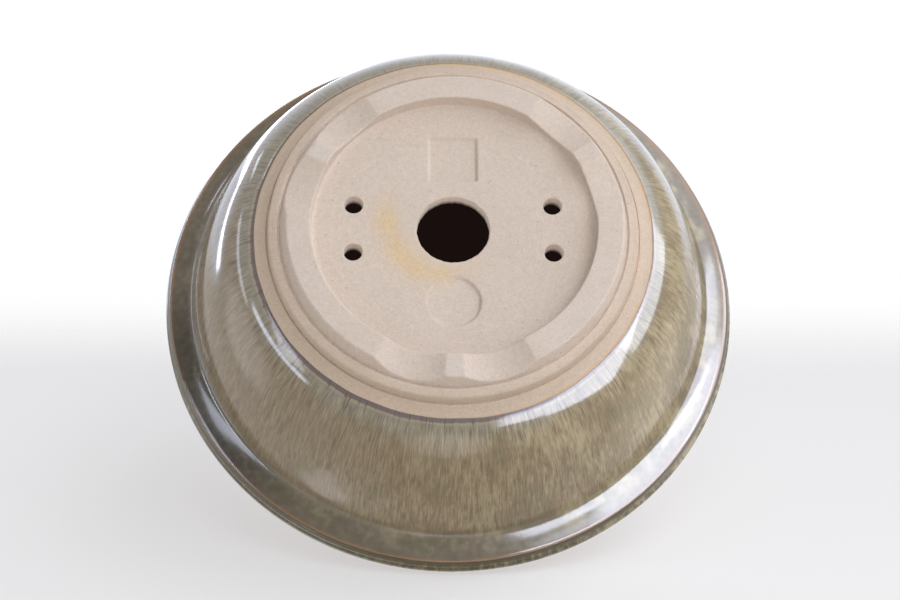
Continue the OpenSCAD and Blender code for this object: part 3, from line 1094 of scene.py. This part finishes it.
def glaze_material(name, stops, finish, streaking):
    """Glossy glaze with a slightly uneven face. Its tones follow each other along the coat with ragged
    borders. Over them lie green and gold drifts, the gold ones made stronger on the lit side as painted
    light, brown and milky streaks that are strongest where the coat ran lowest, and green mottles and a
    patch of painted shade on the flange. The low side is a little darker, as painted shade."""
    material, lay, shader = new_material(name)
    along = lay.mark("run")
    runs = lay.node("ShaderNodeGroup", {"Run": along}, node_tree=glaze_streak_group())
    fine, wide, cloud = [lay.centred(runs.outputs[output]) for output in ("Fine", "Wide", "Cloud")]
    around = lay.vector("NORMALIZE", lay.from_axis())
    lit_side, low_side, dark_side = [lay.vector("DOT_PRODUCT", around, side)
                                      for side in ((-1.0, 0.0, 0.0), (0.5, -0.87, 0.0), (0.9, -0.44, 0.0))]
    on_flange = lay.step(along, *FLANGE_SHARE)
    inner = lay.times(lay.step(along, 0.02, 0.09), lay.step(along, 0.99, 0.9))
    streaks = lay.add_part(fine, wide, 1.2)

    ragged = lay.add_part(lay.times(streaks, 0.09), cloud, 0.16)
    moved = lay.add_part(lay.add_part(0.012, low_side, -0.012), ragged, inner)
    tone = lay.ramp(lay.math("ADD", along, moved), stops)
    green = lay.step(lay.add_part(cloud, wide, 0.6), 0.03, 0.2, end=0.5)
    tone = lay.mix(lay.times(green, inner), tone, finish.moss)
    # Gold drifts in the glaze, stronger towards -X where the key light falls: partly glaze colour, partly
    # painted light
    gold_and_light = lay.step(lay.add_part(lay.times(cloud, -1.0), wide, 0.6), -0.1, 0.2, end=0.75)
    gold_and_light = lay.times(gold_and_light, lay.step(lit_side, -0.7, 0.7))
    tone = lay.mix(lay.times(gold_and_light, inner), tone, finish.gold)

    strength = lay.step(along, 0.06, 0.25, start=streaking, end=0.6 * streaking)
    strength = lay.times(strength, lay.step(low_side, -1.0, 1.0, start=0.5, end=1.1))
    strength = lay.times(strength, lay.step(along, *FLANGE_SHARE, start=1.0, end=0.6))
    streaks = lay.times(streaks, strength)
    tone = lay.mix(lay.step(streaks, 0.05, -0.4, end=0.7), tone, finish.streak)
    milky = lay.step(streaks, -0.05, 0.4, end=0.7)
    tone = lay.mix(lay.times(milky, inner), tone, finish.milk)
    mottle = lay.step(lay.noise(lay.place(), 75.0, detail=3.0, roughness=0.65), 0.5, 0.64, end=0.6)
    mottle = lay.times(mottle, lay.times(on_flange, lay.step(low_side, -0.2, 0.6)))
    tone = lay.mix(lay.times(mottle, inner), tone, finish.moss)

    light = lay.add_part(1.0, cloud, 0.3)
    # Painted shade: a dark patch on the flange, mostly towards +X
    light = lay.add_part(light, lay.times(on_flange, lay.step(dark_side, 0.86, 0.99)), -0.5)
    # Painted shade: the low side, mostly towards -Y, is a little darker
    light = lay.add_part(light, lay.step(low_side, 0.5, 1.0), -0.11)
    light = lay.add_part(light, fine, 0.3 * streaking)
    rough = lay.add_part(0.11, on_flange, 0.04)
    rough = lay.add_part(rough, lay.step(along, 0.02, 0.0), 0.3)
    rough = lay.add_part(rough, fine, 0.1)
    lay.fill(shader, {
        "Base Color": lay.shaded(tone, light),
        "Roughness": rough,
        "Coat Weight": lay.times(on_flange, 0.32),
        "Coat Roughness": 0.12,
        "Normal": lay.bump(runs.outputs["Height"], strength=0.07, distance=0.2 * MM),
        "IOR": 1.6,
    })
    return material


# Studio

# Size of the floors, and how far the leaning pot's floor reaches behind the rim
FLOOR_SIZE = 8.0
FLOOR_REACH = 0.28

# Patch of deep shade on the leaning pot's floor: its place from where the rim touches, its radius, its soft
# edge and its colour
SHADE_BEHIND = 0.487
SHADE_ASIDE = 0.015
SHADE_RADIUS = 0.1
SHADE_EDGE = 0.015
SHADE_COLOUR = (0.011, 0.006, 0.005)

# Tint of lamps that only reflections show
COOL = (0.92, 0.98, 1.18)

# Light of the floor below and of the backdrop behind
FLOOR_LIGHT = (0.72, 0.7, 0.68)
BACKDROP_LIGHT = (1.15, 1.25, 1.48)

# Patches of light: longitude and latitude of the middle, inner and outer angle in degrees, and light
ROUND_PATCHES = (
    ((-55, 61), 28, 52, (0.25, 0.25, 0.26)),
    ((-100, 8), 15, 40, (0.57, 0.6, 0.68)),
    ((106, 48), 14, 34, (2.3, 2.35, 2.55)),
    ((-29, 26), 8, 24, (0.32, 0.31, 0.3)),
)
FLOOR_PATCHES = (
    ((0, -62), 16, 40, (0.5, 0.45, 0.4)),
    ((0, -28), 8, 20, (1.6, 1.55, 1.5)),
    ((-98, -10), 8, 22, (1.7, 1.7, 1.7)),
    ((107, -24), 8, 24, (1.5, 1.42, 1.25)),
)
BACKDROP_PATCHES = (
    ((124, 11), 10, 26, (0.55, 0.53, 0.45)),
)

# Soft boxes that only reflections show: name, longitude and latitude, distance, width, height and radiance
SOFT_BOXES = (
    ("key_shine", (48, 18), 1.0, 0.6, 1.02, 9.0),
    ("wing_shine", (24, 27), 1.05, 0.27, 0.27, 4.5),
    ("heel_shine", (24, 4), 1.05, 0.3, 0.4, 8.5),
    ("left_shine", (-55, 19), 1.15, 0.25, 0.5, 4.5),
)

# Strips that only reflections show: name, longitude and latitude of both ends, distance, thickness and
# radiance
STRIPS = (
    ("side_shine", (62, 11), (97, 34), 1.1, 0.58, 5.8),
    ("low_strip", (-79, 14), (-51, -2), 1.0, 0.09, 7.0),
    ("middle_strip", (-113, 23), (-86, 9), 1.0, 0.08, 3.5),
    ("far_strip", (-141, 11), (-126, -3), 1.0, 0.07, 9.0),
    ("back_strip", (-159, 3), (-140, 11), 1.02, 0.07, 6.0),
    ("rear_strip", (-176, -3), (-158, 3), 1.0, 0.08, 3.0),
    ("upper_glint", (-117, 46), (-106, 44), 1.0, 0.03, 10.0),
    ("lower_glint", (-139, 21), (-127, 25), 1.0, 0.03, 5.0),
)


def floor_axes(studio):
    """Right, up and front of the leaning pot's floor in the frame, seen from the main camera."""
    up = Vector((0.0, math.cos(studio.lean), -math.sin(studio.lean)))
    front = Vector((0.0, -math.sin(studio.lean), -math.cos(studio.lean)))
    return Vector((-1.0, 0.0, 0.0)), up, front


def towards(studio, longitude, latitude):
    """Direction over the leaning pot's floor: longitude 0 is towards the camera, and grows to its right."""
    right, up, front = floor_axes(studio)
    lon = math.radians(longitude)
    lat = math.radians(latitude)
    return math.cos(lat) * (math.sin(lon) * right + math.cos(lon) * front) + math.sin(lat) * up


def place_camera(studio):
    """Camera at the main view: its axes come from the pot's tilt, yaw and roll in the picture."""
    turn = Matrix.Rotation(studio.view_roll, 3, "Z") @ Matrix.Rotation(studio.view_yaw, 3, "Y")
    tilt = studio.view_tilt
    pot_x = turn @ Vector((-1.0, 0.0, 0.0))
    pot_y = turn @ Vector((0.0, -math.cos(tilt), math.sin(tilt)))
    pot_z = turn @ Vector((0.0, math.sin(tilt), math.cos(tilt)))
    to_pot = Matrix((pot_x, pot_y, pot_z))
    # The picture's axes run right, down and forward, and a camera's run right, up and back
    axes = to_pot @ Matrix.Diagonal((1.0, -1.0, -1.0))
    camera = bpy.data.objects.new("main_view", bpy.data.cameras.new("main_view"))
    bpy.context.scene.collection.objects.link(camera)
    camera.data.lens = studio.lens
    camera.data.sensor_width = 36.0
    camera.data.clip_start = 0.01
    camera.matrix_world = Matrix.Translation(to_pot @ -Vector(studio.sight)) @ axes.to_4x4()
    bpy.context.scene.camera = camera


def floor_material(name, studio, middle, back, reach, shade):
    """Pale floor that only the camera sees, and only from above. It is partly lit, so that it keeps the pot's
    shadow, and light passes through it. It is a disc with a soft edge, and fades out at reach behind its
    middle. Round the point shade, a patch of deep shade stands for what is dark behind the leaning pot's
    holes."""
    material = bpy.data.materials.new(name)
    lay = fresh_layout(material)
    seen = lay.node("ShaderNodeLightPath").outputs["Is Camera Ray"]
    behind = lay.node("ShaderNodeNewGeometry").outputs["Backfacing"]
    place = lay.place()
    depth = lay.vector("DOT_PRODUCT", lay.vector("SUBTRACT", place, tuple(middle)), tuple(back))
    centre = Vector(middle) + 0.4 * reach * Vector(back)
    disc = lay.step(lay.vector("DISTANCE", place, tuple(centre)), 1.5 * reach, reach)
    floor = lay.times(disc, lay.step(depth, 1.25 * reach, 0.75 * reach))
    dark = lay.step(lay.vector("DISTANCE", place, tuple(shade)), SHADE_RADIUS + SHADE_EDGE, SHADE_RADIUS)
    tone = lay.mix(dark, studio.floor, SHADE_COLOUR)
    lit = lay.node("ShaderNodeBsdfDiffuse", {"Color": lay.shaded(tone, 0.45)})
    glow = lay.node("ShaderNodeEmission", {"Color": tone, "Strength": 0.5})
    both = lay.node("ShaderNodeAddShader", {0: lit.outputs[0], 1: glow.outputs[0]})
    clear = lay.node("ShaderNodeBsdfTransparent")
    shown = lay.times(seen, lay.math("SUBTRACT", 1.0, behind))
    shown = lay.times(shown, lay.math("MAXIMUM", floor, dark))
    final = lay.node("ShaderNodeMixShader", {0: shown, 1: clear.outputs[0], 2: both.outputs[0]})
    lay.node("ShaderNodeOutputMaterial", {"Surface": final.outputs[0]})
    return material


def make_floor(name, middle, side, ahead, material):
    """A square floor by its middle and two directions. Its face looks along side x ahead."""
    corners = np.array([[-1, -1], [1, -1], [1, 1], [-1, 1]]) * 0.5 * FLOOR_SIZE
    points = np.array(middle) + corners[:, :1] * np.array(side) + corners[:, 1:] * np.array(ahead)
    mesh = bpy.data.meshes.new(name)
    mesh.from_pydata(points.tolist(), [], [(0, 1, 2, 3)])
    mesh.materials.append(material)
    floor = bpy.data.objects.new(name, mesh)
    bpy.context.scene.collection.objects.link(floor)


def make_floors(studio, shape):
    """The floor that the leaning pot's rim touches in the main view, and the floor under the standing pot's
    feet. The second one reaches further than its edges, and has its patch of shade far out of sight."""
    right, up, front = floor_axes(studio)
    touch = Vector((0.0, -shape.rim_radius, shape.pot_height))
    shade = touch - SHADE_BEHIND * front + SHADE_ASIDE * right
    leaning = floor_material("pale floor under the leaning pot", studio, touch, -front, FLOOR_REACH, shade)
    make_floor("leaning_floor", touch, right, -front, leaning)
    middle = Vector((0.0, 0.0, 0.0))
    endless = 99.0
    unseen = Vector((0.0, 0.0, -9.0))
    standing = floor_material("pale floor under the standing pot", studio, middle, up, endless, unseen)
    make_floor("standing_floor", middle, (1, 0, 0), (0, 1, 0), standing)


def light_surroundings(studio):
    """World light: a plain level all round, a pale floor below and a white backdrop behind, told by the
    direction over the leaning pot's floor, with soft round patches that the glaze reflects. The camera itself
    sees plain white."""
    world = bpy.data.worlds.new("studio")
    bpy.context.scene.world = world
    lay = fresh_layout(world)
    _, up, front = floor_axes(studio)
    ray = lay.node("ShaderNodeTexCoord").outputs["Generated"]
    height = lay.vector("DOT_PRODUCT", ray, tuple(up))
    ahead = lay.vector("DOT_PRODUCT", ray, tuple(front))

    def patched(tone, patches):
        """The light with patches on it, each with its own light inside the inner angle and none of it outside
        the outer angle."""
        for direction, inner, outer, light in patches:
            near = lay.vector("DOT_PRODUCT", ray, tuple(towards(studio, *direction)))
            edges = [math.cos(math.radians(edge)) for edge in (outer, inner)]
            tone = lay.mix(lay.step(near, *edges), tone, light)
        return tone

    tone = patched((studio.surround,) * 3, ROUND_PATCHES)
    tone = lay.mix(lay.step(height, -0.06, -0.16), tone, FLOOR_LIGHT)
    tone = patched(tone, FLOOR_PATCHES)
    backdrop = lay.times(lay.step(height, -0.18, -0.08), lay.step(height, 0.85, 0.15))
    backdrop = lay.times(backdrop, lay.step(ahead, -0.5, -0.7))
    tone = lay.mix(backdrop, tone, BACKDROP_LIGHT)
    tone = patched(tone, BACKDROP_PATCHES)
    around = lay.node("ShaderNodeBackground", {"Color": tone})
    white = lay.node("ShaderNodeBackground", {"Color": (1.0, 1.0, 1.0)})
    seen = lay.node("ShaderNodeLightPath").outputs["Is Camera Ray"]
    both = lay.node("ShaderNodeMixShader", {0: seen, 1: around.outputs[0], 2: white.outputs[0]})
    lay.node("ShaderNodeOutputWorld", {"Surface": both.outputs[0]})


def add_lamp(name, target, direction, upright, distance, width, height, radiance, diffuse=False, glossy=True):
    """A soft box by its direction from the pot and the way its upright side runs. Its power is radiance times
    pi times its area. A lamp that only reflections show is cool."""
    lamp = bpy.data.lights.new(name, "AREA")
    lamp.shape = "RECTANGLE"
    lamp.size = width
    lamp.size_y = height
    lamp.energy = radiance * math.pi * width * height
    if not diffuse:
        lamp.color = COOL
    box = bpy.data.objects.new(name, lamp)
    bpy.context.scene.collection.objects.link(box)
    level = upright.cross(direction).normalized()
    axes = Matrix((level, direction.cross(level), direction)).transposed()
    box.matrix_world = Matrix.Translation(target + distance * direction) @ axes.to_4x4()
    box.visible_camera = False
    box.visible_diffuse = diffuse
    box.visible_glossy = glossy


def add_strip(name, studio, target, first, last, distance, thickness, radiance):
    """A strip of light between two directions given by longitude and latitude. At a distance of 1 its width
    is twice the tangent of half the angle between them."""
    start = towards(studio, *first)
    end = towards(studio, *last)
    middle = (start + end).normalized()
    width = 2.0 * distance * (end - start).length / (end + start).length
    upright = middle.cross(end - start).normalized()
    add_lamp(name, target, middle, upright, distance, width, thickness * distance, radiance)


def hang_lamps(studio, shape):
    """The lamp that lights the clay, the soft boxes and strips that the glaze reflects, and a lamp over the
    standing pot."""
    _, up, _ = floor_axes(studio)
    target = Vector((0.0, 0.0, 0.5 * shape.pot_height))
    add_lamp("key_light", target, towards(studio, 26, 43), up, distance=0.65, width=0.65, height=0.65,
             radiance=1.6, diffuse=True, glossy=False)
    for name, direction, *sizes in SOFT_BOXES:
        add_lamp(name, target, towards(studio, *direction), up, *sizes)
    for name, *strip in STRIPS:
        add_strip(name, studio, target, *strip)
    overhead = Vector((0.25, -0.3, 0.92)).normalized()
    add_lamp("top_light", target, overhead, Vector((0, 1, 0)), distance=1.2, width=1.2, height=1.2,
             radiance=0.9, diffuse=True)


# Operators

class PotOperator:
    """What the operators share: the settings in the scene."""

    bl_options = {"REGISTER", "UNDO"}

    @staticmethod
    def settings(context):
        return context.scene.bonsai_pot


class POT_OT_studio(PotOperator, bpy.types.Operator):
    """Set the camera, the soft light and the pale floors"""

    bl_idname = "bonsai_pot.studio"
    bl_label = "Studio"

    def execute(self, context):
        pot = self.settings(context)
        context.scene.view_settings.view_transform = "Standard"
        place_camera(pot.studio)
        light_surroundings(pot.studio)
        make_floors(pot.studio, pot.shape)
        hang_lamps(pot.studio, pot.shape)
        return {"FINISHED"}


class POT_OT_clay_bowl(PotOperator, bpy.types.Operator):
    """Make the clay bowl with its turned base, holes and blank press marks"""

    bl_idname = "bonsai_pot.clay_bowl"
    bl_label = "Clay bowl"

    def execute(self, context):
        pot = self.settings(context)
        points, quads = bowl_surface(pot.shape)
        material = clay_material("bare stoneware", pot.clay, pot.shape, turning=1.0)
        marks = {"stain": stain_mark(points), "flash": flash_mark(points, pot.shape)}
        make_piece("clay_bowl", points, quads, marks, material)
        return {"FINISHED"}


class POT_OT_foot_ring(PotOperator, bpy.types.Operator):
    """Make the foot ring with its scoops"""

    bl_idname = "bonsai_pot.foot_ring"
    bl_label = "Foot ring"

    def execute(self, context):
        pot = self.settings(context)
        points, quads, wear_and_sheen = ring_surface(pot.shape)
        material = clay_material("foot stoneware", pot.clay, pot.shape, turning=0.5)
        make_piece("foot_ring", points, quads, {"wear_and_sheen": wear_and_sheen}, material)
        return {"FINISHED"}


class POT_OT_outer_glaze(PotOperator, bpy.types.Operator):
    """Make the outer glaze coat, with its rounded and wavering lower edge"""

    bl_idname = "bonsai_pot.outer_glaze"
    bl_label = "Outer glaze"

    def execute(self, context):
        pot = self.settings(context)
        glaze = pot.glaze
        line, _ = glaze_lines(pot.shape)
        reach = line[0] - pot.shape.glaze_reach * way(pot.shape.heel_slope)
        face = joined(spaced(np.array([reach, line[0]]), gap=0.2 * MM), line)
        late = run_down(pot.shape, round_angles(GRID))
        points, quads, run = coat_surface(face, pot.shape, late, 0.0, wall_relief(pot.shape))
        stops = [
            (0.0, glaze.edge),
            (0.03, glaze.edge),
            (0.04, glaze.fringe),
            (0.055, glaze.heel),
            (0.09, glaze.heel),
            (0.15, glaze.wall),
            (0.8, glaze.wall),
            (0.88, glaze.flange),
            (0.984, glaze.flange),
            (0.994, glaze.iron),
        ]
        material = glaze_material("streaked olive glaze", stops, glaze, streaking=1.0)
        make_piece("outer_glaze", points, quads, {"run": run}, material)
        return {"FINISHED"}


class POT_OT_rim_glaze(PotOperator, bpy.types.Operator):
    """Make the glaze coat over the rim, with its fine turned line"""

    bl_idname = "bonsai_pot.rim_glaze"
    bl_label = "Rim glaze"

    def execute(self, context):
        pot = self.settings(context)
        glaze = pot.glaze
        _, face = glaze_lines(pot.shape)
        waver = 0.5 * MM
        early = waver + waver * swells(round_angles(GRID), 1.0, (2, 5, 11, 23))
        points, quads, run = coat_surface(face, pot.shape, 0.0, early, turned_groove(pot.shape))
        stops = [
            (0.0, glaze.iron),
            (0.012, glaze.rim),
            (0.14, glaze.rim),
            (0.19, glaze.iron),
            (0.26, glaze.rim),
            (0.4, glaze.iron),
            (0.5, glaze.rim),
            (0.9, glaze.wall),
            (1.0, glaze.edge),
        ]
        material = glaze_material("olive brown rim glaze", stops, glaze, streaking=0.3)
        make_piece("rim_glaze", points, quads, {"run": run}, material)
        return {"FINISHED"}


class PotSettings(bpy.types.PropertyGroup):
    """All settings of the pot and its studio."""

    shape: PointerProperty(type=PotShape, name="Shape", description="Sizes of the pot")
    clay: PointerProperty(type=ClayFinish, name="Clay", description="Looks of the bare clay")
    glaze: PointerProperty(type=GlazeFinish, name="Glaze", description="Looks of the glaze")
    studio: PointerProperty(type=StudioSetup, name="Studio", description="Camera, floor and light")


OPERATORS = (POT_OT_studio, POT_OT_clay_bowl, POT_OT_foot_ring, POT_OT_outer_glaze, POT_OT_rim_glaze)


class POT_PT_panel(bpy.types.Panel):
    """Lists the settings and the operators"""

    bl_idname = "POT_PT_panel"
    bl_label = "Round bonsai pot"
    bl_space_type = "VIEW_3D"
    bl_region_type = "UI"
    bl_category = "Bonsai pot"

    def draw(self, context):
        pot = context.scene.bonsai_pot
        for group in (pot.shape, pot.clay, pot.glaze, pot.studio):
            column = self.layout.column(align=True)
            for name in group.__annotations__:
                column.prop(group, name)
        for operator in OPERATORS:
            self.layout.operator(operator.bl_idname)


CLASSES = (PotShape, ClayFinish, GlazeFinish, StudioSetup, PotSettings, *OPERATORS, POT_PT_panel)


def register():
    for item in CLASSES:
        bpy.utils.register_class(item)
    bpy.types.Scene.bonsai_pot = PointerProperty(type=PotSettings)


def unregister():
    del bpy.types.Scene.bonsai_pot
    for item in reversed(CLASSES):
        bpy.utils.unregister_class(item)


def main():
    register()
    bpy.ops.bonsai_pot.studio()
    bpy.ops.bonsai_pot.clay_bowl()
    bpy.ops.bonsai_pot.foot_ring()
    bpy.ops.bonsai_pot.outer_glaze()
    bpy.ops.bonsai_pot.rim_glaze()


if __name__ == "__main__":
    main()
